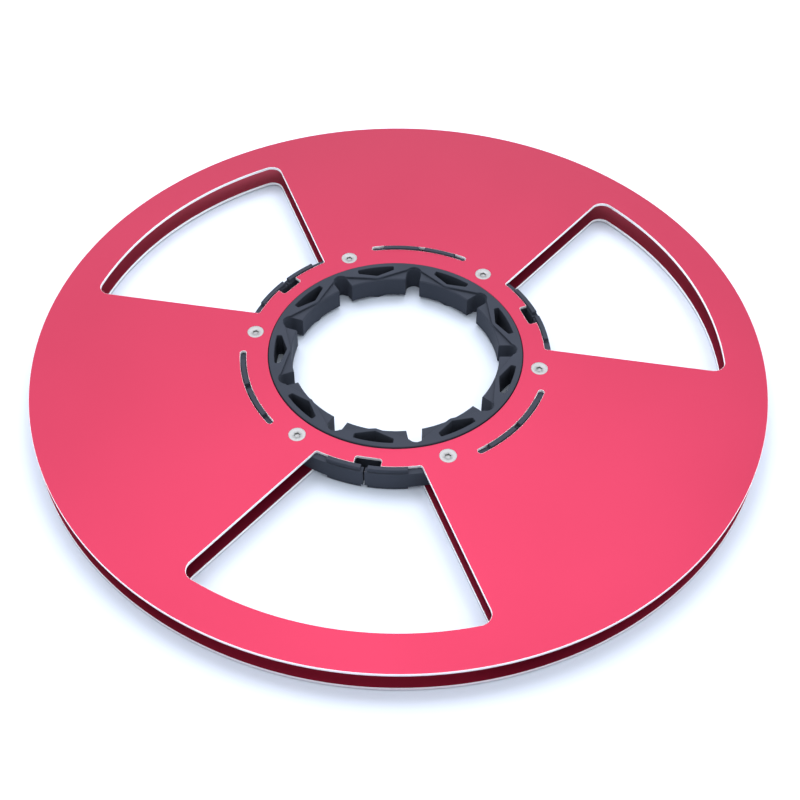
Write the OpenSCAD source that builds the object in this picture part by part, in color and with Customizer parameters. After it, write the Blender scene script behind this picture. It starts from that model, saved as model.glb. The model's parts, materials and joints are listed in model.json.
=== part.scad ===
// Large open-reel tape spool: two windowed metal flanges screwed to a moulded hub.
// The reel turns about +Z. The lowest faces of the hub lie at z = 0, and both faces are alike.

/* [Overall] */
// Outside diameter of the flanges
reel_d = 266.7; // [250:0.1:330]
// Clear width between the flanges, where the tape winds
tape_gap = 7.1; // [5.6:0.1:14]

/* [Flanges] */
// Thickness of each flange
flange_t = 1.2; // [0.9:0.05:2]
// Solid rim left outside the windows
rim_w = 14.1; // [8:0.1:20]
// Distance from a screw's radial line to the window side that runs along it
spoke_side = 9.85; // [6:0.05:12]
// Radius of the windows' outer corners
window_corner_r = 4.5; // [2:0.1:8]
// Radius of the windows' inner corners
window_inner_corner_r = 1; // [0.5:0.1:2]
// Width of the notch in the middle of each window's inner edge
finger_notch_w = 9.4; // [6:0.1:11]
// How far that notch cuts in towards the hub
finger_notch_depth = 3.3; // [2:0.1:4]
// Bevel on the outer rim and on the centre hole
edge_bevel = 0.25; // [0.1:0.05:0.35]

/* [Hub] */
// Diameter of the round hole that fits the machine's three-inch hub adapter
bore_d = 76.3; // [60:0.1:92]
// Lead-in bevel at both ends of the hole
bore_bevel = 0.4; // [0.2:0.05:0.6]
// Wall from the hole to the outside of the collar that centres the flanges
collar_wall = 8.35; // [8:0.05:9]
// Distance from the collar's edge out to the circle of screws
screws_from_collar = 6.4; // [5.5:0.05:9]
// Distance from the circle of screws out to the surface that the tape winds on
winding_from_screws = 4.25; // [4:0.05:8]
// How far the collar and the ridges stand proud of each flange
proud = 0.45; // [0.2:0.05:0.8]
// Width of a key notch
key_w = 5.56; // [4:0.02:6]
// Depth of a key notch, measured from the hole's wall
key_depth = 6.35; // [5:0.05:6.8]
// How far the ledges beside a key notch lie below the top of the collar
ledge_drop = 0.92; // [0.5:0.02:1.3]
// Plastic left round the outside of a pocket, up to the collar's edge
pocket_wall = 2; // [1.2:0.1:2.5]
// Half width of a pocket
pocket_half_w = 7; // [5:0.1:7.4]

/* [Tape slits] */
// Thickness of the hub's outer wall at a slit
slit_wall = 2.35; // [1.8:0.05:3]
// Width of a tape slit
slit_w = 0.5; // [0.3:0.05:1.5]
// Distance of the slit from the middle of its chamber
slit_offset = 0.8; // [0:0.05:1.5]
// Width of the chamber behind a slit
chamber_w = 9.8; // [7:0.1:11]
// Depth of the chamber behind a slit
chamber_depth = 3.8; // [2.5:0.1:4]

/* [Ridges] */
// Width of the raised ridges
ridge_w = 1.7; // [1.2:0.1:1.9]
// Distance of a ridge from the winding surface
ridge_inset = 0.45; // [0.3:0.05:0.8]
// Play between a ridge and the flange slot round it
slot_play = 0.3; // [0.1:0.05:0.4]
// Arc from the middle of a pair of ridges to its far ends
ridge_half_arc = 14.5; // [10:0.5:17]
// Arc from the middle of a flange slot to its ends
slot_half_arc = 19.45; // [18:0.05:21]

/* [Screws] */
// Thread diameter
screw_d = 3; // [2.5:0.1:3.2]
// Head diameter
head_d = 6; // [5:0.1:6.4]
// Clear distance between the tips of two screws that meet in one insert
tip_gap = 1.4; // [0.6:0.1:3]
// Hex socket, across its flats
socket_af = 2; // [1.5:0.1:2.5]
// Depth of the hex socket
socket_depth = 1.1; // [0.8:0.1:1.5]
// Wall of the threaded inserts
insert_wall = 0.8; // [0.6:0.05:1.2]

/* [Hidden] */
screw_count = 6;
$fn = 96;

// Levels, from the bottom up
bottom_face = proud;
hub_bottom = bottom_face + flange_t;
hub_top = hub_bottom + tape_gap;
top_face = hub_top + flange_t;
total_h = top_face + proud;

// Radii
reel_r = reel_d / 2;
bore_r = bore_d / 2;
collar_r = bore_r + collar_wall;
screw_circle_r = collar_r + screws_from_collar;
winding_r = screw_circle_r + winding_from_screws;
insert_r = screw_d / 2 + insert_wall;
window_outer_r = reel_r - rim_w;
ridge_outer_r = winding_r - ridge_inset;
ridge_inner_r = ridge_outer_r - ridge_w;
slot_outer_r = ridge_outer_r + slot_play;
slot_inner_r = ridge_inner_r - slot_play;
key_end_r = bore_r + key_depth;
pocket_outer_r = collar_r - pocket_wall;
ledge_edge_r = bore_r + bore_bevel;

// Fits
flange_play = 0.3;    // flange hole round the collar
thread_play = 0.03;   // screw in insert, insert in hub
head_play = 0.04;     // screw head in its countersink
shank_play = 0.1;     // screw in the flange hole
head_sink = 0.05;     // head below the flange's face
head_land = 0.1;      // straight edge of the head above its cone
tip_bevel = 0.3;      // end of the screw
insert_play = 0.02;   // insert below the end of a screw head's cone
least_recess = 0.2;   // insert below the hub's face at the least
over = 1;             // how far a cutter runs past what it cuts

// Screws and inserts
head_end = head_sink + head_land + (head_d - screw_d) / 2 + thread_play;
insert_recess = max(least_recess, head_end - flange_t + insert_play);
screw_len = (top_face - bottom_face - tip_gap) / 2 - head_sink;

// Layout round the axis
window_angles = [30, 150, 270];
slot_angles = [90, 210, 330];
slit_angles = concat(window_angles, slot_angles);
screw_step = 360 / screw_count;
screw_angles = [for (i = [0:screw_count - 1]) i * screw_step];
key_count = 9;
key_step = 360 / key_count;
first_pocket_angle = 270;
pocket_angles = [for (i = [0:key_count - 1]) first_pocket_angle + i * key_step];
screw_to_window = 30;     // from a window's middle to the screw's radial line beside it
window_corner_in = spoke_side + window_corner_r;    // from that line to the middle of an outer corner
collar_bevel = 0.2;
ridge_gap_shift = -0.8;   // angle of the gap between two ridges, from the slit's middle
ridge_gap_half = 1.2;     // half that gap's angle
pocket_nose = 1.2;        // plastic between the hole's wall and a pocket's nose
pocket_slope = 0.34;      // rise of a pocket's inner sides
ledge_slope = 0.235;      // rise of the line between a pocket's rim and the ledges beside it
pocket_corner_r = 0.7;
star_sink = 0.1;          // how far the inner points of the ledges' outline lie inside the hole

function polar(r, a) = [r * cos(a), r * sin(a)];

// Copies the children round the axis, each turned to one of the angles
module around(angles) for (a = angles) rotate([0, 0, a]) children();

// Turns the children upside down about the middle of the reel
module flipped() translate([0, 0, total_h]) mirror([0, 0, 1]) children();

module both_faces() {
    children();
    flipped() children();
}

// Points along an arc round centre, from angle a to angle b; first and last leave out points at its ends
function arc(centre, r, a, b, steps, first = 0, last = 0) =
    [for (i = [first:steps - last]) centre + polar(r, a + (b - a) * i / steps)];

function angle_of(p) = atan2(p.y, p.x);

// One side of a window whose middle is on +X, from its outer corner to the finger notch
function window_side() =
    let (along = polar(1, screw_to_window),
         across = polar(1, screw_to_window - 90),
         outer_out = sqrt(pow(window_outer_r - window_corner_r, 2) - pow(window_corner_in, 2)),
         outer = along * outer_out + across * window_corner_in,
         inner_in = spoke_side + window_inner_corner_r,
         inner_out = sqrt(pow(slot_inner_r + window_inner_corner_r, 2) - pow(inner_in, 2)),
         inner = along * inner_out + across * inner_in,
         side_normal = screw_to_window + 90,
         notch_half = finger_notch_w / 2,
         notch_corner = [slot_inner_r - finger_notch_depth + window_inner_corner_r,
                         notch_half - window_inner_corner_r])
    concat(arc(outer, window_corner_r, angle_of(outer), side_normal, 10, first = 1),
           arc(inner, window_inner_corner_r, side_normal, 180 + angle_of(inner), 5),
           arc([0, 0], slot_inner_r, angle_of(inner), asin(notch_half / slot_inner_r), 8, first = 1),
           arc(notch_corner, window_inner_corner_r, 90, 180, 5));

// A window with its middle on +X
module window() {
    side = window_side();
    last = len(side) - 1;
    half_arc = screw_to_window - asin(window_corner_in / (window_outer_r - window_corner_r));
    polygon(concat(arc([0, 0], window_outer_r, -half_arc, half_arc, 36), side,
                   [for (i = [0:last]) [side[last - i].x, -side[last - i].y]]));
}

// Arc slot with round ends, its middle on +X
module arc_slot() {
    end_r = (slot_outer_r - slot_inner_r) / 2;
    middle_r = (slot_outer_r + slot_inner_r) / 2;
    end_arc = slot_half_arc - asin(end_r / middle_r);
    polygon(concat(arc([0, 0], slot_outer_r, -end_arc, end_arc, 20),
                   arc(polar(middle_r, end_arc), end_r, end_arc, end_arc + 180, 10, first = 1),
                   arc([0, 0], slot_inner_r, end_arc, -end_arc, 20, first = 1),
                   arc(polar(middle_r, -end_arc), end_r, 180 - end_arc, 360 - end_arc, 10,
                       first = 1, last = 1)));
}

// Ring sector with its middle on +X
module ring_sector(r1, r2, half_arc) {
    polygon(concat(arc([0, 0], r2, -half_arc, half_arc, 6), arc([0, 0], r1, half_arc, -half_arc, 6)));
}

// Hole and countersink for a screw whose head is flush with z = 0
module countersink() {
    land = head_sink + head_land;
    seat_r = head_d / 2 + head_play;
    hole_r = screw_d / 2 + shank_play;
    translate([0, 0, -land]) cylinder(r = seat_r, h = land + over);
    translate([0, 0, -land - seat_r + hole_r]) cylinder(r1 = hole_r, r2 = seat_r, h = seat_r - hole_r);
    translate([0, 0, -flange_t - over]) cylinder(r = hole_r, h = flange_t + over);
}

module flange() {
    hole_r = collar_r + flange_play;
    b = edge_bevel;
    t = flange_t;
    difference() {
        translate([0, 0, hub_top]) rotate_extrude()
            polygon([[hole_r, b], [hole_r + b, 0], [reel_r - b, 0], [reel_r, b],
                     [reel_r, t - b], [reel_r - b, t], [hole_r + b, t], [hole_r, t - b]]);
        translate([0, 0, hub_top - over]) linear_extrude(flange_t + 2 * over) {
            around(window_angles) window();
            around(slot_angles) arc_slot();
        }
        around(screw_angles) translate([screw_circle_r, 0, top_face]) countersink();
    }
}

module top_flange() color([0.85, 0.16, 0.28]) flange();

module bottom_flange() color([0.85, 0.16, 0.28]) flipped() flange();

// Outline of the ledges: a star whose inner points reach the hole at the pockets
module ledge_star() {
    half_step = key_step / 2;
    inner_r = ledge_edge_r - star_sink;
    notch_r = inner_r / (cos(half_step) - ledge_slope * sin(half_step));
    polygon([for (i = [0:2 * key_count - 1])
        polar(i % 2 == 0 ? inner_r : notch_r, first_pocket_angle + i * half_step)]);
}

// Points that round off corner b between a and c
function round_corner(a, b, c, r, steps = 6) =
    let (u = (a - b) / norm(a - b), v = (c - b) / norm(c - b),
         half = acos(u * v) / 2,
         centre = b + (u + v) / norm(u + v) * r / sin(half),
         start = atan2((b + u * r / tan(half) - centre).y, (b + u * r / tan(half) - centre).x),
         stop = atan2((b + v * r / tan(half) - centre).y, (b + v * r / tan(half) - centre).x),
         turn = (stop - start + 540) % 360 - 180)
    [for (i = [0:steps]) centre + polar(r, start + turn * i / steps)];

// A pocket with its nose towards the axis and its middle on +X
module pocket() {
    nose = [bore_r + pocket_nose + bore_bevel, 0];
    side_x = nose.x + pocket_slope * pocket_half_w;
    back_x = sqrt(pow(pocket_outer_r, 2) - pow(pocket_half_w, 2));
    arc_half = asin(pocket_half_w / pocket_outer_r);
    corner_share = 0.09;
    arc_end = arc_half * (1 - corner_share);
    left = [side_x, pocket_half_w];
    right = [side_x, -pocket_half_w];
    back_left = [back_x, pocket_half_w];
    back_right = [back_x, -pocket_half_w];
    polygon(concat(
        round_corner(right, nose, left, pocket_corner_r),
        round_corner(nose, left, back_left, pocket_corner_r),
        round_corner(left, back_left, polar(pocket_outer_r, arc_end), pocket_corner_r / 2),
        arc([0, 0], pocket_outer_r, arc_end, -arc_end, 16),
        round_corner(polar(pocket_outer_r, -arc_end), back_right, right, pocket_corner_r / 2),
        round_corner(back_right, right, nose, pocket_corner_r)));
}

// A key notch with a round end, opening towards the axis
module key_notch() {
    end = key_end_r - key_w / 2;
    translate([0, -key_w / 2]) square([end, key_w]);
    translate([end, 0]) circle(d = key_w);
}

// The hole, wider above the ledges' level, with its lead-in bevel
module bore_cutter() {
    ledge = total_h - ledge_drop;
    half_profile = [[0, total_h / 2 - over], [bore_r, total_h / 2 - over], [bore_r, ledge - bore_bevel],
                    [ledge_edge_r, ledge], [ledge_edge_r, total_h + over], [0, total_h + over]];
    both_faces() rotate_extrude() polygon(half_profile);
}

// Pair of ridges on the top face, their middle on +X
module ridge_pair() {
    gap_low = ridge_gap_shift - ridge_gap_half;
    gap_high = ridge_gap_shift + ridge_gap_half;
    for (ends = [[-ridge_half_arc, gap_low], [gap_high, ridge_half_arc]])
        rotate([0, 0, ends[0]]) rotate_extrude(angle = ends[1] - ends[0])
            translate([ridge_inner_r, hub_top - over])
                square([ridge_w, total_h - hub_top + over]);
}

// A tape slit and the chamber behind it, its middle on +X
module tape_slit() {
    chamber_outer = winding_r - slit_wall;
    chamber_half_arc = asin(chamber_w / 2 / chamber_outer);
    ring_sector(chamber_outer - chamber_depth, chamber_outer, chamber_half_arc);
    translate([chamber_outer - over, -slit_offset - slit_w / 2]) square([slit_wall + 2 * over, slit_w]);
}

module hub() color([0.17, 0.18, 0.2]) {
    difference() {
        union() {
            translate([0, 0, hub_bottom]) cylinder(r = winding_r, h = tape_gap);
            rotate_extrude() polygon([[0, 0], [collar_r - collar_bevel, 0], [collar_r, collar_bevel],
                [collar_r, total_h - collar_bevel], [collar_r - collar_bevel, total_h], [0, total_h]]);
            both_faces() around(slit_angles) ridge_pair();
        }
        bore_cutter();
        both_faces() translate([0, 0, total_h - ledge_drop]) linear_extrude(ledge_drop + over) ledge_star();
        translate([0, 0, -over]) linear_extrude(total_h + 2 * over) {
            around(pocket_angles) {
                pocket();
                rotate([0, 0, key_step / 2]) key_notch();
            }
            around(slit_angles) tape_slit();
        }
        around(screw_angles) translate([screw_circle_r, 0, hub_bottom - over])
            cylinder(r = insert_r + thread_play, h = tape_gap + 2 * over);
        both_faces() around(screw_angles) translate([screw_circle_r, 0, top_face]) countersink();
    }
}

// Places the children at the screw position of number i
module at_screw(i) rotate([0, 0, (i - 1) * screw_step]) translate([screw_circle_r, 0, 0]) children();

// A countersunk screw in the top flange
module screw(i) {
    r = screw_d / 2 - thread_play;
    head_r = head_d / 2;
    cone_h = head_r - r;
    socket_d = socket_af / cos(30);
    at_screw(i) translate([0, 0, top_face - head_sink]) difference() {
        rotate_extrude() polygon([[0, 0], [head_r, 0], [head_r, -head_land], [r, -head_land - cone_h],
            [r, tip_bevel - screw_len], [r - tip_bevel, -screw_len], [0, -screw_len]]);
        translate([0, 0, -socket_depth]) cylinder(d = socket_d, h = socket_depth + over, $fn = 6);
    }
}

module top_screw(i) color([0.78, 0.78, 0.76]) screw(i);

module bottom_screw(i) color([0.78, 0.78, 0.76]) flipped() screw(i);

// A threaded sleeve in the hub, shared by the screws above and below it
module threaded_insert(i) color([0.75, 0.6, 0.3]) {
    bevel = 0.3;
    groove = 0.3;
    r = screw_d / 2;
    low = hub_bottom + insert_recess;
    high = hub_top - insert_recess;
    middle = (low + high) / 2;
    at_screw(i) rotate_extrude()
        polygon([[r + bevel, low], [insert_r, low], [insert_r, middle - 2 * groove],
                 [insert_r - groove, middle - groove], [insert_r - groove, middle + groove],
                 [insert_r, middle + 2 * groove], [insert_r, high],
                 [r + bevel, high], [r, high - bevel], [r, low + bevel]]);
}

top_flange();
bottom_flange();
hub();
for (i = [1:screw_count]) {
    top_screw(i);
    bottom_screw(i);
    threaded_insert(i);
}
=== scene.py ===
"""An open-reel tape spool: the finished surfaces of its flanges, hub, screws and inserts, on a pale floor.

Lengths are millimetres until a mesh is made, and angles are degrees. The camera, the light, half the floor's
width and the depth of the grains are in metres.
"""

import json
import math

import bpy
from mathutils import Matrix, Vector
from mathutils.geometry import tessellate_polygon


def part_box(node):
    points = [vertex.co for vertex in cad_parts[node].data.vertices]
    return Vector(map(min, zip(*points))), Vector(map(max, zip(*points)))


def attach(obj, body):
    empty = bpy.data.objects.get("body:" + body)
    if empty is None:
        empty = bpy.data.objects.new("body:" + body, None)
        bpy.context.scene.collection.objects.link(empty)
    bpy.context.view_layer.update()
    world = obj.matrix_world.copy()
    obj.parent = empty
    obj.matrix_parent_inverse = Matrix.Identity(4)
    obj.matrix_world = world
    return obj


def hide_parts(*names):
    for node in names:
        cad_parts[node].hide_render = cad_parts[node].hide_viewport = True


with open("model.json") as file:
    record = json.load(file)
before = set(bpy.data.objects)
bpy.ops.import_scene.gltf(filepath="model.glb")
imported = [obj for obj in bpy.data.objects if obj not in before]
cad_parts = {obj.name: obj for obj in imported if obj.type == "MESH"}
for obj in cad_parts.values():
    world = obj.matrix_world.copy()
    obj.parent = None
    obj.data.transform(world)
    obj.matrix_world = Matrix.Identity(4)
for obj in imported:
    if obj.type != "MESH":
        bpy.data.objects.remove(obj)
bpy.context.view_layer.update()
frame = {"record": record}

MM = 0.001

# Sizes that the frame gives
RECORD = frame["record"]
MOUNTS = {mount["name"]: mount for mount in RECORD["mounts"]}
REEL_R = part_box("top_flange")[1].x / MM
HUB_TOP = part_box("top_flange")[0].z / MM
TOP_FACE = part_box("top_flange")[1].z / MM
TOTAL_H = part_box("hub")[1].z / MM
BORE_R = MOUNTS["hub_bore"]["dims"]["r_mm"]
WINDING_R = -MOUNTS["winding_surface"]["pos_m"][1] / MM
MIDDLE = TOTAL_H / 2
FLANGE_T = TOP_FACE - HUB_TOP

# Flanges
RIM_W = 14.1
SPOKE_SIDE = 9.85
WINDOW_CORNER_R = 4.5
WINDOW_INNER_CORNER_R = 1.0
FINGER_NOTCH_W = 9.4
FINGER_NOTCH_DEPTH = 3.3
RIM_ROUND = 0.1
HOLE_ROUND = 0.15
WINDOW_ROUND = 0.08
SLOT_ROUND = 0.07
FLANGE_PLAY = 0.3

# Hub
BORE_BEVEL = 0.4
COLLAR_WALL = 8.35
SCREWS_FROM_COLLAR = 6.4
KEY_COUNT = 9
KEY_W = 5.56
KEY_DEPTH = 6.35
LEDGE_DROP = 0.92
LEDGE_SLOPE = 0.235
STAR_SINK = 0.1
POCKET_WALL = 2.0
POCKET_HALF_W = 7.0
POCKET_NOSE = 1.2
POCKET_SLOPE = 0.34
POCKET_CORNER_R = 0.7
POCKET_BACK_ARC = 0.91    # part of a pocket's back that follows the arc, the rest being its corners
HUB_BEVEL = 0.2
MOULD_BEVEL = 0.14

# Tape slits
SLIT_WALL = 2.35
SLIT_W = 0.5
SLIT_OFFSET = 0.8
CHAMBER_W = 9.8
CHAMBER_DEPTH = 3.8

# Ridges and the slots round them
RIDGE_W = 1.7
RIDGE_INSET = 0.45
SLOT_PLAY = 0.3
RIDGE_HALF_ARC = 14.5
SLOT_HALF_ARC = 19.45
RIDGE_GAP_SHIFT = -0.8
RIDGE_GAP_HALF = 1.2

# Screws and inserts
SCREW_R = 1.47
HEAD_R = 3.0
HEAD_SINK = 0.05
HEAD_LAND = 0.1
HEAD_BEVEL = 0.06
HEAD_PLAY = 0.04
SCREW_LEN = 4.0
SOCKET_AF = 2.0
SOCKET_DEPTH = 1.1
SOCKET_LEAD_IN = 0.1
SOCKET_BEVEL = 0.04
DISH_R = 2.35
DISH_FLOOR_R = 1.3
DISH_DEPTH = 0.22
DRILL_R = 0.9
DRILL_SHOULDER = 0.05
DRILL_CONE = 0.2
DRILL_POINT_R = 0.06
TIP_BEVEL = 0.3
TIP_TAPER = 0.1
THREAD_PITCH = 0.5
THREAD_DEPTH = 0.27
THREAD_RUN_OUT = 0.2
CREST_CUT = 1.15    # a thread's flanks would meet this many times its depth out, so its crest is flat
INSERT_BORE_R = 1.5
INSERT_R = 2.3
INSERT_PLAY = 0.03
INSERT_RECESS = 0.5
INSERT_BEVEL = 0.3
INSERT_THREAD_DEPTH = 0.2
KNURL_COUNT = 30
KNURL_DEPTH = 0.12
KNURL_INSET = 0.3
KNURL_FADE = 0.25
WAIST_HALF = 0.6
WAIST_STEP = 0.05

# Radii that follow
COLLAR_R = BORE_R + COLLAR_WALL
SCREW_CIRCLE_R = COLLAR_R + SCREWS_FROM_COLLAR
WINDOW_OUTER_R = REEL_R - RIM_W
RIDGE_OUTER_R = WINDING_R - RIDGE_INSET
RIDGE_INNER_R = RIDGE_OUTER_R - RIDGE_W
SLOT_OUTER_R = RIDGE_OUTER_R + SLOT_PLAY
SLOT_INNER_R = RIDGE_INNER_R - SLOT_PLAY
LEDGE_EDGE_R = BORE_R + BORE_BEVEL
LEDGE_Z = TOTAL_H - LEDGE_DROP
POCKET_OUTER_R = COLLAR_R - POCKET_WALL

# Layout round the axis
WINDOW_ANGLES = (30, 150, 270)
SLOT_ANGLES = (90, 210, 330)
SLIT_ANGLES = WINDOW_ANGLES + SLOT_ANGLES
SCREW_COUNT = 6
SCREW_ANGLES = tuple(360 / SCREW_COUNT * i for i in range(SCREW_COUNT))
SCREW_TO_WINDOW = 30
KEY_STEP = 360 / KEY_COUNT
POCKET_ANGLES = tuple(270 + KEY_STEP * i for i in range(KEY_COUNT))

# Segments in curves
ROUND_STEPS = 360
RIM_STEPS = 540
SMALL_HOLE_STEPS = 48
SCREW_STEPS = 60
STEPS_PER_KNURL = 4
EDGE_STEPS = 3
CORNER_STEPS = 8
SMALL_CORNER_STEPS = 6
WINDOW_CORNER_STEPS = 14
WINDOW_SIDE_STEPS = 16
WINDOW_ARC_STEPS = 72
SLOT_STEPS = 36
SLOT_END_STEPS = 14
POCKET_BACK_STEPS = 16
KEY_END_STEPS = 24
CHAMBER_LOW_STEPS = 6
CHAMBER_HIGH_STEPS = 8
CHAMBER_BACK_STEPS = 14
RIDGE_STEPS = 20
ROWS_PER_THREAD = 6
ROWS_PER_INSERT_THREAD = 4

# Meshes
OVER = 1.0              # how far a cutter or a joined shape reaches past the surface
LEVEL = 0.9999          # vertical part of a level face's normal, at the least
SHARP_EDGE = 28         # edges steeper than this stay sharp
SHARP_THREAD_EDGE = 35
FLOOR_DROP = 0.02       # how far the floor lies under the reel

# Materials: of each pair, the first is where a noise is low and the second where it is high
NOISE_RANGE = (0.3, 0.7)
DYE_COLOURS = ((0.325, 0.009, 0.041), (0.345, 0.011, 0.046))
DYE_ROUGHNESS = (0.34, 0.42)
DYE_MOTTLE_SCALE = 14
DYE_GRAIN_SCALE = 5200
DYE_GRAIN_DEPTH = 0.000004
DYE_GRAIN_STRENGTH = 0.35
DYE_SURFACE = {"Metallic": 0.65, "Specular IOR Level": 0.35, "Coat Weight": 0.2, "Coat Roughness": 0.5,
               "Coat IOR": 1.5}
MOULD_COLOURS = ((0.038, 0.044, 0.057), (0.044, 0.05, 0.065))
MOULD_ROUGHNESS = (0.46, 0.58)
MOULD_MOTTLE_SCALE = 60
MOULD_GRAIN_SCALE = 3800
MOULD_GRAIN_DEPTH = 0.00002
MOULD_GRAIN_STRENGTH = 0.4
MOULD_SURFACE = {"IOR": 1.4, "Specular IOR Level": 0.05}
METAL_GRAIN_DEPTH = 0.00001
METAL_GRAIN_STRENGTH = 0.3
PAPER_COLOURS = ((0.74, 0.81, 0.9), (0.75, 0.82, 0.91))
PAPER_SCALE = 40
PAPER_SURFACE = {"Roughness": 0.9, "Specular IOR Level": 0.2}

# Bare metals: colours, roughness and the scale of the grain
TURNED_RIM = (((0.86, 0.78, 0.8), (0.95, 0.87, 0.89)), (0.3, 0.42), 900)
CUT_EDGE = (((0.9, 0.9, 0.91), (0.98, 0.98, 0.98)), (0.75, 0.9), 1400)
SCREW_STEEL = (((0.24, 0.241, 0.236), (0.335, 0.336, 0.327)), (0.44, 0.54), 2600)
INSERT_BRASS = (((0.68, 0.48, 0.2), (0.8, 0.6, 0.3)), (0.25, 0.4), 1500)

# Camera and light
CAMERA_AT = (0.05507, -0.31567, 0.34725)
CAMERA_AIM = (-0.01044, -0.02283, 0.0052)
CAMERA_ROLL = 1.8136
CAMERA_LENS = 56.92
CAMERA_SHIFT = (0.05567, 0.00066)
CAMERA_CLIP = (0.01, 50)
FLOOR_HALF = 6.0
OVERHEAD_AT = (-0.15, 0.652, 1.346)
OVERHEAD_SIZE = (1.4, 0.9)
OVERHEAD_POWER = 9.5
OVERHEAD_COLOUR = (1.0, 0.98, 1.1)
SKY_BY_HEIGHT = ((0.0, (1.15, 1.17, 1.2)), (0.12, (0.72, 0.75, 0.84)), (0.3, (0.8, 0.84, 0.93)),
                 (0.6, (0.94, 0.97, 1.03)), (1.0, (1.0, 1.02, 1.06)))
SKY_BY_SIDE = tuple((position, (grey, grey, grey)) for position, grey in
                    ((0.0, 0.5), (0.25, 0.55), (0.5, 0.8), (0.75, 1.0), (1.0, 1.0)))
SKY_STRENGTH = 1.8
MIX_COLOUR_A, MIX_COLOUR_B, MIX_COLOUR_RESULT = 6, 7, 2    # a mix node's sockets for colours


# ---------------------------------------------------------------- outlines

def polar(r, angle):
    return Vector((r * math.cos(math.radians(angle)), r * math.sin(math.radians(angle))))


def arc(centre, r, a, b, steps, first=0, last=0):
    """Points along an arc from angle a to angle b; first and last leave out points at its ends."""
    middle = Vector(centre)
    return [middle + polar(r, a + (b - a) * i / steps) for i in range(first, steps + 1 - last)]


def angle_of(point):
    return math.degrees(math.atan2(point.y, point.x))


def turned(outline, angle):
    """The outline turned round the axis."""
    return [polar(p.length, angle_of(p) + angle) for p in outline]


def grown(outline, by):
    """The outline with each side moved out by that much. Outlines run anticlockwise."""
    moved = []
    for i, point in enumerate(outline):
        before = (point - outline[i - 1]).normalized()
        after = (outline[(i + 1) % len(outline)] - point).normalized()
        normal_a = Vector((before.y, -before.x))
        normal_b = Vector((after.y, -after.x))
        corner = (normal_a + normal_b) / (1 + normal_a.dot(normal_b))
        moved.append(point + corner * by)
    return moved


def round_corner(a, b, c, r):
    """Points that round off corner b between a and c."""
    u = (a - b).normalized()
    v = (c - b).normalized()
    half = math.acos(u.dot(v)) / 2
    centre = b + (u + v).normalized() * r / math.sin(half)
    start = angle_of(b + u * r / math.tan(half) - centre)
    stop = angle_of(b + v * r / math.tan(half) - centre)
    turn = (stop - start + 540) % 360 - 180
    return arc(centre, r, start, start + turn, CORNER_STEPS)


def circle(r, steps=ROUND_STEPS, centre=(0, 0)):
    return arc(centre, r, 0, 360, steps, last=1)


def window():
    """A window with its middle on +X."""
    along = polar(1, SCREW_TO_WINDOW)
    across = polar(1, SCREW_TO_WINDOW - 90)
    side_normal = SCREW_TO_WINDOW + 90
    outer_in = SPOKE_SIDE + WINDOW_CORNER_R
    outer_reach = WINDOW_OUTER_R - WINDOW_CORNER_R
    outer = along * math.sqrt(outer_reach ** 2 - outer_in ** 2) + across * outer_in
    inner_in = SPOKE_SIDE + WINDOW_INNER_CORNER_R
    inner_reach = SLOT_INNER_R + WINDOW_INNER_CORNER_R
    inner = along * math.sqrt(inner_reach ** 2 - inner_in ** 2) + across * inner_in
    notch_half = FINGER_NOTCH_W / 2
    notch_corner = (SLOT_INNER_R - FINGER_NOTCH_DEPTH + WINDOW_INNER_CORNER_R,
                    notch_half - WINDOW_INNER_CORNER_R)
    notch_angle = math.degrees(math.asin(notch_half / SLOT_INNER_R))
    half_arc = angle_of(outer)
    side = arc(outer, WINDOW_CORNER_R, half_arc, side_normal, WINDOW_CORNER_STEPS, first=1)
    side += arc(inner, WINDOW_INNER_CORNER_R, side_normal, 180 + angle_of(inner), SMALL_CORNER_STEPS)
    side += arc((0, 0), SLOT_INNER_R, angle_of(inner), notch_angle, WINDOW_SIDE_STEPS, first=1)
    side += arc(notch_corner, WINDOW_INNER_CORNER_R, 90, 180, SMALL_CORNER_STEPS)
    other_side = [Vector((p.x, -p.y)) for p in reversed(side)]
    return arc((0, 0), WINDOW_OUTER_R, -half_arc, half_arc, WINDOW_ARC_STEPS) + side + other_side


def arc_slot():
    """A slot along an arc, with round ends and its middle on +X."""
    end_r = (SLOT_OUTER_R - SLOT_INNER_R) / 2
    middle_r = (SLOT_OUTER_R + SLOT_INNER_R) / 2
    end = SLOT_HALF_ARC - math.degrees(math.asin(end_r / middle_r))
    outline = arc((0, 0), SLOT_OUTER_R, -end, end, SLOT_STEPS)
    outline += arc(polar(middle_r, end), end_r, end, end + 180, SLOT_END_STEPS, first=1)
    outline += arc((0, 0), SLOT_INNER_R, end, -end, SLOT_STEPS, first=1)
    outline += arc(polar(middle_r, -end), end_r, 180 - end, 360 - end, SLOT_END_STEPS, first=1, last=1)
    return outline


def ledge_star():
    """Outline of the ledges beside the key notches."""
    half_step = KEY_STEP / 2
    inner_r = LEDGE_EDGE_R - STAR_SINK
    spread = math.cos(math.radians(half_step)) - LEDGE_SLOPE * math.sin(math.radians(half_step))
    outline = []
    for angle in POCKET_ANGLES:
        outline.append(polar(inner_r, angle))
        outline.append(polar(inner_r / spread, angle + half_step))
    return outline


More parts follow.
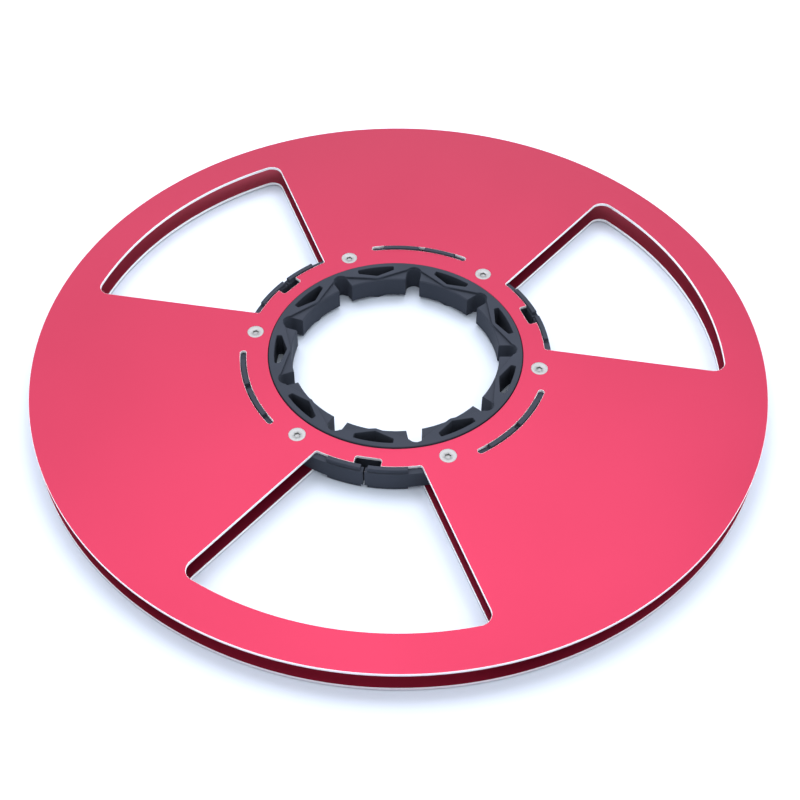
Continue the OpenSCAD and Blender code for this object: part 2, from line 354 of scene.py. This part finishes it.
def pocket():
    """A pocket with its nose towards the axis and its middle on +X."""
    nose = Vector((LEDGE_EDGE_R + POCKET_NOSE, 0))
    side_x = nose.x + POCKET_SLOPE * POCKET_HALF_W
    back_x = math.sqrt(POCKET_OUTER_R ** 2 - POCKET_HALF_W ** 2)
    arc_end = POCKET_BACK_ARC * math.degrees(math.asin(POCKET_HALF_W / POCKET_OUTER_R))
    left = Vector((side_x, POCKET_HALF_W))
    right = Vector((side_x, -POCKET_HALF_W))
    back_left = Vector((back_x, POCKET_HALF_W))
    back_right = Vector((back_x, -POCKET_HALF_W))
    outline = round_corner(right, nose, left, POCKET_CORNER_R)
    outline += round_corner(nose, left, back_left, POCKET_CORNER_R)
    outline += round_corner(left, back_left, polar(POCKET_OUTER_R, arc_end), POCKET_CORNER_R / 2)
    outline += arc((0, 0), POCKET_OUTER_R, arc_end, -arc_end, POCKET_BACK_STEPS)
    outline += round_corner(polar(POCKET_OUTER_R, -arc_end), back_right, right, POCKET_CORNER_R / 2)
    outline += round_corner(back_right, right, nose, POCKET_CORNER_R)
    return outline[::-1]


def key_notch():
    """A key notch with a round end, opening towards the axis, on +X."""
    end_r = KEY_W / 2
    end_x = BORE_R + KEY_DEPTH - end_r
    outline = arc((end_x, 0), end_r, -90, 90, KEY_END_STEPS)
    return outline + [Vector((BORE_R / 2, end_r)), Vector((BORE_R / 2, -end_r))]


def slit_chamber():
    """A chamber with the slit that leads out of it, its middle on +X."""
    outer_r = WINDING_R - SLIT_WALL
    inner_r = outer_r - CHAMBER_DEPTH
    half = math.degrees(math.asin(CHAMBER_W / 2 / outer_r))
    low_y = -SLIT_OFFSET - SLIT_W / 2
    high_y = -SLIT_OFFSET + SLIT_W / 2
    low = math.degrees(math.asin(low_y / outer_r))
    high = math.degrees(math.asin(high_y / outer_r))
    outline = arc((0, 0), outer_r, -half, low, CHAMBER_LOW_STEPS)
    outline += [Vector((WINDING_R + OVER, low_y)), Vector((WINDING_R + OVER, high_y))]
    outline += arc((0, 0), outer_r, high, half, CHAMBER_HIGH_STEPS)
    outline += arc((0, 0), inner_r, half, -half, CHAMBER_BACK_STEPS)
    return outline


def ridge(start, stop):
    """A ridge from one angle to another."""
    return (arc((0, 0), RIDGE_OUTER_R, start, stop, RIDGE_STEPS)
            + arc((0, 0), RIDGE_INNER_R, stop, start, RIDGE_STEPS))


# ---------------------------------------------------------------- meshes

class Shape:
    """Points and faces in millimetres, with a finish number for each face."""

    def __init__(self):
        self.points = []
        self.faces = []
        self.finishes = []

    def ring(self, points):
        start = len(self.points)
        self.points += [tuple(p) for p in points]
        return list(range(start, len(self.points)))

    def level(self, outline, z):
        return self.ring([(p.x, p.y, z) for p in outline])

    def face(self, corners, finish=0):
        self.faces.append(tuple(corners))
        self.finishes.append(finish)

    def bridge(self, low, high, finish=0):
        for i in range(len(low)):
            self.face((low[i - 1], low[i], high[i], high[i - 1]), finish)

    def stack(self, rings):
        """Joins rings that run anticlockwise, from the lowest to the highest."""
        for low, high in zip(rings, rings[1:]):
            self.bridge(low, high)

    def prism(self, outline, levels):
        """A closed solid from (height, growth) levels, the lowest first."""
        rings = [self.level(grown(outline, by), z) for z, by in levels]
        self.stack(rings)
        self.face(reversed(rings[0]))
        self.face(rings[-1])

    def revolve(self, profile):
        """A closed profile of (radius, height) points, anticlockwise, turned round the axis."""
        columns = []
        for i in range(ROUND_STEPS):
            direction = polar(1, 360 * i / ROUND_STEPS)
            columns.append(self.ring([(direction.x * r, direction.y * r, z) for r, z in profile]))
        for i in range(ROUND_STEPS):
            self.bridge(columns[i], columns[i - 1])

    def sheet(self, outer, holes, up, finish=0):
        """A flat face with holes, from rings of points at one height."""
        rings = [outer] + holes
        loops = [[Vector(self.points[i]) for i in ring] for ring in rings]
        index = [i for ring in rings for i in ring]
        for a, b, c in tessellate_polygon(loops):
            corners = [index[a], index[b], index[c]]
            p, q, r = (Vector(self.points[i]) for i in corners)
            if ((q - p).cross(r - p).z > 0) != up:
                corners.reverse()
            self.face(corners, finish)

    def turned_over(self):
        """The same shape upside down about the middle of the reel."""
        other = Shape()
        other.points = [(x, y, TOTAL_H - z) for x, y, z in self.points]
        other.faces = [tuple(reversed(f)) for f in self.faces]
        other.finishes = list(self.finishes)
        return other

    def add(self, other):
        shift = len(self.points)
        self.points += other.points
        self.faces += [tuple(i + shift for i in f) for f in other.faces]
        self.finishes += other.finishes

    def both_faces(self):
        """This shape and the same upside down, as one."""
        pair = Shape()
        pair.add(self)
        pair.add(self.turned_over())
        return pair

    def made(self, name):
        """The shape as a Blender object, in metres."""
        mesh = bpy.data.meshes.new(name)
        mesh.from_pydata([Vector(p) * MM for p in self.points], [], self.faces)
        mesh.polygons.foreach_set("material_index", self.finishes)
        mesh.update()
        piece = bpy.data.objects.new(name, mesh)
        bpy.context.scene.collection.objects.link(piece)
        return piece


def shade(piece, sharp_above):
    """Smooth shading that keeps steep edges sharp, and level faces level beside their rounded edges."""
    mesh = piece.data
    limit = math.radians(sharp_above)
    mesh.polygons.foreach_set("use_smooth", [True] * len(mesh.polygons))
    mesh.set_sharp_from_angle(angle=limit)
    level = {}
    for face in mesh.polygons:
        if abs(face.normal.z) > LEVEL:
            level.update({vertex: Vector((0, 0, round(face.normal.z))) for vertex in face.vertices})
    normals = [corner.vector.copy() for corner in mesh.corner_normals]
    for loop in mesh.loops:
        up = level.get(loop.vertex_index)
        if up and normals[loop.index].angle(up) < limit:
            normals[loop.index] = up
    mesh.normals_split_custom_set(normals)


def combine(piece, other, operation):
    """Applies a boolean with the other object, which is used up."""
    modifier = piece.modifiers.new(operation, "BOOLEAN")
    modifier.operation = operation
    modifier.solver = "MANIFOLD"
    modifier.object = other
    graph = bpy.context.evaluated_depsgraph_get()
    result = bpy.data.meshes.new_from_object(piece.evaluated_get(graph))
    piece.modifiers.clear()
    spent = [piece.data, other.data]
    piece.data = result
    bpy.data.objects.remove(other)
    for mesh in spent:
        bpy.data.meshes.remove(mesh)


def finish_piece(piece, material_slot, materials, *nodes):
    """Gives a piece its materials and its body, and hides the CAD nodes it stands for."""
    for material in materials:
        piece.data.materials.append(material)
    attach(piece, "root")
    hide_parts(*nodes)


# ---------------------------------------------------------------- pieces

FACE, RIM, CUT = 0, 1, 2


def rounding(radius):
    """(depth below the face, distance from the wall) points round an edge, from the wall to the face."""
    turns = [math.radians(90 * i / EDGE_STEPS) for i in range(EDGE_STEPS + 1)]
    return [(radius * (1 - math.sin(t)), radius * (1 - math.cos(t))) for t in turns]


def rounded_wall(shape, outline, radius, finish, outside=False):
    """A flange's wall with both its edges rounded; gives its lowest and its highest ring."""
    into_metal = -1 if outside else 1
    round_off = rounding(radius)
    levels = [(HUB_TOP + depth, by) for depth, by in reversed(round_off)]
    levels += [(TOP_FACE - depth, by) for depth, by in round_off]
    rings = [shape.level(grown(outline, by * into_metal), z) for z, by in levels]
    for low, high in zip(rings, rings[1:]):
        if outside:
            shape.bridge(low, high, finish)
        else:
            shape.bridge(high, low, finish)
    return rings[0], rings[-1]


def countersink(shape, angle):
    """A screw's hole in a flange; gives its lowest and its highest ring."""
    seat_r = HEAD_R + HEAD_PLAY
    land = HEAD_SINK + HEAD_LAND
    hole_r = seat_r - (FLANGE_T - land)
    centre = polar(SCREW_CIRCLE_R, angle)
    levels = ((hole_r, HUB_TOP), (seat_r, TOP_FACE - land), (seat_r, TOP_FACE))
    rings = [shape.level(circle(r, SMALL_HOLE_STEPS, centre), z) for r, z in levels]
    for low, high in zip(rings, rings[1:]):
        shape.bridge(high, low, CUT)
    return rings[0], rings[-1]


def flange():
    """The upper flange, with rounded edges and countersunk holes."""
    shape = Shape()
    rim = rounded_wall(shape, circle(REEL_R, RIM_STEPS), RIM_ROUND, RIM, outside=True)
    holes = [rounded_wall(shape, circle(COLLAR_R + FLANGE_PLAY), HOLE_ROUND, FACE)]
    holes += [rounded_wall(shape, turned(window(), a), WINDOW_ROUND, CUT) for a in WINDOW_ANGLES]
    holes += [rounded_wall(shape, turned(arc_slot(), a), SLOT_ROUND, CUT) for a in SLOT_ANGLES]
    holes += [countersink(shape, a) for a in SCREW_ANGLES]
    shape.sheet(rim[0], [low for low, high in holes], False, FACE)
    shape.sheet(rim[1], [high for low, high in holes], True, FACE)
    return shape


def hub_body():
    """The collar and the winding barrel, as one turned shape with the hole's wall."""
    half = [
        (WINDING_R, HUB_TOP - MOULD_BEVEL),
        (WINDING_R - MOULD_BEVEL, HUB_TOP),
        (COLLAR_R, HUB_TOP),
        (COLLAR_R, TOTAL_H - HUB_BEVEL),
        (COLLAR_R - HUB_BEVEL, TOTAL_H),
        (LEDGE_EDGE_R, TOTAL_H),
        (LEDGE_EDGE_R, LEDGE_Z),
        (BORE_R, LEDGE_Z - BORE_BEVEL),
        (BORE_R, MIDDLE),
    ]
    other = [(r, TOTAL_H - z) for r, z in reversed(half[:-1])]
    shape = Shape()
    shape.revolve(half + other)
    return shape.made("hub")


def ridges():
    """Six pairs of ridges on each face."""
    shape = Shape()
    levels = ((HUB_TOP - OVER, 0), (TOTAL_H - MOULD_BEVEL, 0), (TOTAL_H, -MOULD_BEVEL))
    ends = ((-RIDGE_HALF_ARC, RIDGE_GAP_SHIFT - RIDGE_GAP_HALF),
            (RIDGE_GAP_SHIFT + RIDGE_GAP_HALF, RIDGE_HALF_ARC))
    for angle in SLIT_ANGLES:
        for start, stop in ends:
            shape.prism(turned(ridge(start, stop), angle), levels)
    return shape.both_faces().made("ridges")


def ledge_cutter():
    """Sinks the ledges beside the key notches, in both faces."""
    b = MOULD_BEVEL
    levels = ((LEDGE_Z, 0), (TOTAL_H - b, 0), (TOTAL_H, b), (TOTAL_H + OVER, b))
    shape = Shape()
    shape.prism(ledge_star(), levels)
    return shape.both_faces().made("ledges")


def mirrored_levels(*levels):
    """Levels above the middle, with the same below it, from the lowest."""
    return [(TOTAL_H - z, by) for z, by in reversed(levels)] + list(levels)


def notch_cutter():
    """Cuts the key notches, with bevelled edges at the ledges and at the faces."""
    b = MOULD_BEVEL
    levels = mirrored_levels((LEDGE_Z - b, 0), (LEDGE_Z, b), (TOTAL_H - b, b), (TOTAL_H, 2 * b),
                             (TOTAL_H + OVER, 2 * b))
    shape = Shape()
    for angle in POCKET_ANGLES:
        shape.prism(turned(key_notch(), angle + KEY_STEP / 2), levels)
    return shape.made("notches")


def pocket_cutter():
    """Cuts the pockets right through, with bevelled edges."""
    b = MOULD_BEVEL
    levels = mirrored_levels((TOTAL_H - b, 0), (TOTAL_H, b), (TOTAL_H + OVER, b))
    shape = Shape()
    for angle in POCKET_ANGLES:
        shape.prism(turned(pocket(), angle), levels)
    return shape.made("pockets")


def chamber_cutter():
    """Cuts the tape slits with their chambers, and the holes for the inserts."""
    b = MOULD_BEVEL
    levels = mirrored_levels((HUB_TOP - b, 0), (HUB_TOP, b), (TOTAL_H + OVER, b))
    shape = Shape()
    for angle in SLIT_ANGLES:
        shape.prism(turned(slit_chamber(), angle), levels)
    for angle in SCREW_ANGLES:
        hole = circle(INSERT_R + INSERT_PLAY, SMALL_HOLE_STEPS, polar(SCREW_CIRCLE_R, angle))
        shape.prism(hole, ((-OVER, 0), (TOTAL_H + OVER, 0)))
    return shape.made("chambers")


def hub():
    """The moulded hub, as a Blender object."""
    piece = hub_body()
    combine(piece, ridges(), "UNION")
    for cutter in (ledge_cutter, notch_cutter, pocket_cutter, chamber_cutter):
        combine(piece, cutter(), "DIFFERENCE")
    piece.data.materials.clear()
    piece.data.polygons.foreach_set("material_index", [0] * len(piece.data.polygons))
    return piece


def lathe(profile, steps, centre, closed=False):
    """A shape from rings, the lowest inner one first, each a function from angle to radius and a height."""
    shape = Shape()
    angles = [360 * i / steps for i in range(steps)]
    rings = [shape.level([centre + polar(radius(a), a) for a in angles], z) for radius, z in profile]
    shape.stack(rings)
    if closed:
        shape.bridge(rings[-1], rings[0])
    else:
        shape.face(reversed(rings[0]))
        shape.face(rings[-1])
    return shape


def steady(value):
    """The same value at each angle."""
    return lambda angle: value


def hexagon(across_flats):
    """Radius of a hexagon at each angle."""
    return lambda angle: across_flats / 2 / math.cos(math.radians((angle + 30) % 60 - 30))


def thread(root, crest, z):
    """Radius of a screw thread at each angle, at a height."""
    def radius(angle):
        phase = (z / THREAD_PITCH - angle / 360) % 1
        rise = 1 - abs(2 * phase - 1)
        return root + (crest - root) * min(1, CREST_CUT * rise)
    return radius


def screw(angle):
    """A countersunk screw in the upper flange, with its thread and hexagon socket."""
    face = TOP_FACE - HEAD_SINK
    tip = face - SCREW_LEN
    cone_end = face - HEAD_LAND - (HEAD_R - SCREW_R)
    thread_low = tip + TIP_BEVEL
    thread_high = cone_end - THREAD_RUN_OUT
    rows = int((thread_high - thread_low) / (THREAD_PITCH / ROWS_PER_THREAD))
    root = SCREW_R - THREAD_DEPTH
    dish_floor = face - DISH_DEPTH
    socket_end = face - SOCKET_DEPTH
    rings = [(steady(root - TIP_TAPER), tip)]
    for i in range(rows + 1):
        z = thread_low + (thread_high - thread_low) * i / rows
        rings.append((thread(root, SCREW_R, z), z))
    rings += [
        (steady(SCREW_R), cone_end),
        (steady(HEAD_R), face - HEAD_LAND),
        (steady(HEAD_R), face - HEAD_BEVEL),
        (steady(HEAD_R - HEAD_BEVEL), face),
        (steady(DISH_R), face),
        (steady(DISH_FLOOR_R), dish_floor),
        (hexagon(SOCKET_AF + SOCKET_BEVEL), dish_floor - SOCKET_LEAD_IN),
        (hexagon(SOCKET_AF), dish_floor - SOCKET_LEAD_IN - SOCKET_BEVEL),
        (hexagon(SOCKET_AF), socket_end + DRILL_CONE + DRILL_SHOULDER),
        (steady(DRILL_R), socket_end + DRILL_CONE),
        (steady(DRILL_POINT_R), socket_end),
    ]
    return lathe(rings, SCREW_STEPS, polar(SCREW_CIRCLE_R, angle))


def knurl(angle):
    """Radius of a knurled band at each angle."""
    phase = (angle * KNURL_COUNT / 360) % 1
    return INSERT_R - KNURL_DEPTH * abs(2 * phase - 1)


def insert(angle):
    """A threaded sleeve with two knurled bands."""
    low = TOTAL_H - HUB_TOP + INSERT_RECESS
    high = HUB_TOP - INSERT_RECESS
    middle = (low + high) / 2
    mouth = steady(INSERT_BORE_R + INSERT_BEVEL)
    plain = steady(INSERT_R - KNURL_DEPTH)
    waist = steady(INSERT_R - INSERT_BEVEL)
    waist_half = WAIST_HALF - KNURL_FADE
    rings = [
        (mouth, low),
        (plain, low + KNURL_INSET - KNURL_FADE),
        (knurl, low + KNURL_INSET),
        (knurl, middle - WAIST_HALF),
        (waist, middle - waist_half),
        (waist, middle + waist_half - WAIST_STEP),
        (plain, middle + waist_half),
        (knurl, middle + WAIST_HALF),
        (knurl, high - KNURL_INSET),
        (plain, high),
        (mouth, high),
    ]
    threaded = high - low - 2 * INSERT_BEVEL
    rows = int(threaded / (THREAD_PITCH / ROWS_PER_INSERT_THREAD))
    for i in range(rows + 1):
        z = high - INSERT_BEVEL - threaded * i / rows
        rings.append((thread(INSERT_BORE_R, INSERT_BORE_R + INSERT_THREAD_DEPTH, z), z))
    return lathe(rings, STEPS_PER_KNURL * KNURL_COUNT, polar(SCREW_CIRCLE_R, angle), closed=True)


# ---------------------------------------------------------------- materials

def new_material(name, surface):
    """A material and its shader, with the numbers that are the same all over its surface."""
    material = bpy.data.materials.new(name)
    material.use_nodes = True
    shader = material.node_tree.nodes["Principled BSDF"]
    for socket, value in surface.items():
        shader.inputs[socket].default_value = value
    return material, shader


def link(owner, output, socket):
    """Links two sockets in the nodes of a material or a world."""
    owner.node_tree.links.new(output, socket)


def place(material):
    """Object coordinates, in metres."""
    return material.node_tree.nodes.new("ShaderNodeTexCoord").outputs["Object"]


def noise(material, scale, detail, roughness=0.5):
    """A noise over the piece, with the scale in features per metre."""
    node = material.node_tree.nodes.new("ShaderNodeTexNoise")
    node.inputs["Scale"].default_value = scale
    node.inputs["Detail"].default_value = detail
    node.inputs["Roughness"].default_value = roughness
    link(material, place(material), node.inputs["Vector"])
    return node.outputs["Fac"]


def ramp(owner, source, stops):
    """A colour ramp from (position, colour) stops."""
    node = owner.node_tree.nodes.new("ShaderNodeValToRGB")
    elements = node.color_ramp.elements
    while len(elements) < len(stops):
        elements.new(0.5)
    for element, (position, colour) in zip(elements, stops):
        element.position = position
        element.color = (*colour, 1.0)
    link(owner, source, node.inputs["Fac"])
    return node.outputs["Color"]


def map_range(owner, source, before, after):
    """Maps one range of numbers to another."""
    node = owner.node_tree.nodes.new("ShaderNodeMapRange")
    node.inputs["From Min"].default_value, node.inputs["From Max"].default_value = before
    node.inputs["To Min"].default_value, node.inputs["To Max"].default_value = after
    link(owner, source, node.inputs["Value"])
    return node.outputs["Result"]


def paint(material, source, colours, shader):
    """Colours a surface by a noise, from one colour to another."""
    link(material, ramp(material, source, tuple(zip(NOISE_RANGE, colours))), shader.inputs["Base Color"])


def roughen(material, source, roughness, shader):
    """Varies a surface's roughness by a noise, from one value to another."""
    link(material, map_range(material, source, NOISE_RANGE, roughness), shader.inputs["Roughness"])


def bump(material, source, distance, strength, shader):
    """Raises a surface by a noise, with the distance in metres."""
    node = material.node_tree.nodes.new("ShaderNodeBump")
    node.inputs["Distance"].default_value = distance
    node.inputs["Strength"].default_value = strength
    link(material, source, node.inputs["Height"])
    link(material, node.outputs["Normal"], shader.inputs["Normal"])


def anodised():
    """Satin dyed aluminium under its clear oxide."""
    material, shader = new_material("anodised_satin", DYE_SURFACE)
    mottle = noise(material, DYE_MOTTLE_SCALE, detail=2)
    grain = noise(material, DYE_GRAIN_SCALE, detail=2)
    paint(material, mottle, DYE_COLOURS, shader)
    roughen(material, grain, DYE_ROUGHNESS, shader)
    bump(material, grain, DYE_GRAIN_DEPTH, DYE_GRAIN_STRENGTH, shader)
    return material


def bare_metal(name, colours, roughness, scale):
    """Turned, cut or drawn metal with a fine grain of colour and roughness."""
    material, shader = new_material(name, {"Metallic": 1.0})
    grain = noise(material, scale, detail=3, roughness=0.6)
    paint(material, grain, colours, shader)
    roughen(material, grain, roughness, shader)
    bump(material, grain, METAL_GRAIN_DEPTH, METAL_GRAIN_STRENGTH, shader)
    return material


def moulded():
    """Satin moulded plastic with a fine spark-eroded grain."""
    material, shader = new_material("moulded_slate", MOULD_SURFACE)
    mottle = noise(material, MOULD_MOTTLE_SCALE, detail=3)
    grain = noise(material, MOULD_GRAIN_SCALE, detail=4, roughness=0.6)
    paint(material, mottle, MOULD_COLOURS, shader)
    roughen(material, grain, MOULD_ROUGHNESS, shader)
    bump(material, grain, MOULD_GRAIN_DEPTH, MOULD_GRAIN_STRENGTH, shader)
    return material


def paper():
    """The matt paper of the floor."""
    material, shader = new_material("floor_paper", PAPER_SURFACE)
    paint(material, noise(material, PAPER_SCALE, detail=2), PAPER_COLOURS, shader)
    return material


# ---------------------------------------------------------------- scene

def make_camera():
    """The camera, at the angle of the photograph."""
    data = bpy.data.cameras.new("camera")
    data.lens = CAMERA_LENS
    data.shift_x, data.shift_y = CAMERA_SHIFT
    data.clip_start, data.clip_end = CAMERA_CLIP
    camera = bpy.data.objects.new("camera", data)
    bpy.context.scene.collection.objects.link(camera)
    at = Vector(CAMERA_AT)
    aim = (Vector(CAMERA_AIM) - at).to_track_quat("-Z", "Y").to_matrix().to_4x4()
    roll = Matrix.Rotation(math.radians(-CAMERA_ROLL), 4, "Z")
    camera.matrix_world = Matrix.Translation(at) @ aim @ roll
    bpy.context.scene.camera = camera


def make_floor():
    """A wide floor, just under the reel's lowest faces."""
    shape = Shape()
    half = FLOOR_HALF / MM
    corners = [(-half, -half), (half, -half), (half, half), (-half, half)]
    shape.face(shape.ring([(x, y, -FLOOR_DROP) for x, y in corners]))
    floor = shape.made("floor")
    floor.data.materials.append(paper())


def make_overhead_light():
    """A wide soft light behind and above the reel."""
    data = bpy.data.lights.new("overhead", "AREA")
    data.shape = "ELLIPSE"
    data.size, data.size_y = OVERHEAD_SIZE
    data.energy = OVERHEAD_POWER
    data.color = OVERHEAD_COLOUR
    light = bpy.data.objects.new("overhead", data)
    bpy.context.scene.collection.objects.link(light)
    light.location = OVERHEAD_AT
    light.rotation_euler = (-Vector(OVERHEAD_AT)).to_track_quat("-Z", "Y").to_euler()


def make_world():
    """A pale room, bright at the horizon and overhead, dimmer between, and darker on the camera's side."""
    world = bpy.data.worlds.new("studio")
    world.use_nodes = True
    bpy.context.scene.world = world
    nodes = world.node_tree.nodes
    direction = nodes.new("ShaderNodeTexCoord").outputs["Generated"]
    parts = nodes.new("ShaderNodeSeparateXYZ")
    link(world, direction, parts.inputs["Vector"])
    ahead = map_range(world, parts.outputs["Y"], (-1, 1), (0, 1))
    mix = nodes.new("ShaderNodeMix")
    mix.data_type = "RGBA"
    mix.blend_type = "MULTIPLY"
    mix.inputs["Factor"].default_value = 1.0
    link(world, ramp(world, parts.outputs["Z"], SKY_BY_HEIGHT), mix.inputs[MIX_COLOUR_A])
    link(world, ramp(world, ahead, SKY_BY_SIDE), mix.inputs[MIX_COLOUR_B])
    link(world, mix.outputs[MIX_COLOUR_RESULT], nodes["Background"].inputs["Color"])
    nodes["Background"].inputs["Strength"].default_value = SKY_STRENGTH


def make_studio():
    """The camera, the light, the room and the floor."""
    bpy.context.scene.view_settings.view_transform = "Standard"
    make_camera()
    make_world()
    make_floor()
    make_overhead_light()


def make_flanges():
    """The upper flange, and the same turned over as the lower one."""
    materials = (anodised(), bare_metal("turned_rim", *TURNED_RIM), bare_metal("cut_edge", *CUT_EDGE))
    upper = flange()
    for name, shape in (("top_flange", upper), ("bottom_flange", upper.turned_over())):
        piece = shape.made(name + "_finished")
        shade(piece, SHARP_EDGE)
        finish_piece(piece, "red_flange", materials, name)


def make_hub():
    """The hub's piece, with its finish."""
    piece = hub()
    piece.name = "hub_moulded"
    shade(piece, SHARP_EDGE)
    finish_piece(piece, "black_hub", (moulded(),), "hub")


def make_fasteners():
    """At each of the six places, the two screws and the insert that they share."""
    steel = bare_metal("screw_steel", *SCREW_STEEL)
    brass = bare_metal("insert_brass", *INSERT_BRASS)
    for number, angle in enumerate(SCREW_ANGLES, start=1):
        upper = screw(angle)
        for side, shape in (("top", upper), ("bottom", upper.turned_over())):
            piece = shape.made(f"{side}_screw_{number}_threaded")
            shade(piece, SHARP_THREAD_EDGE)
            finish_piece(piece, "screw_steel", (steel,), f"{side}_screw_{number}")
        piece = insert(angle).made(f"insert_{number}_knurled")
        shade(piece, SHARP_THREAD_EDGE)
        finish_piece(piece, "insert_brass", (brass,), f"threaded_insert_{number}")


make_studio()
make_flanges()
make_hub()
make_fasteners()
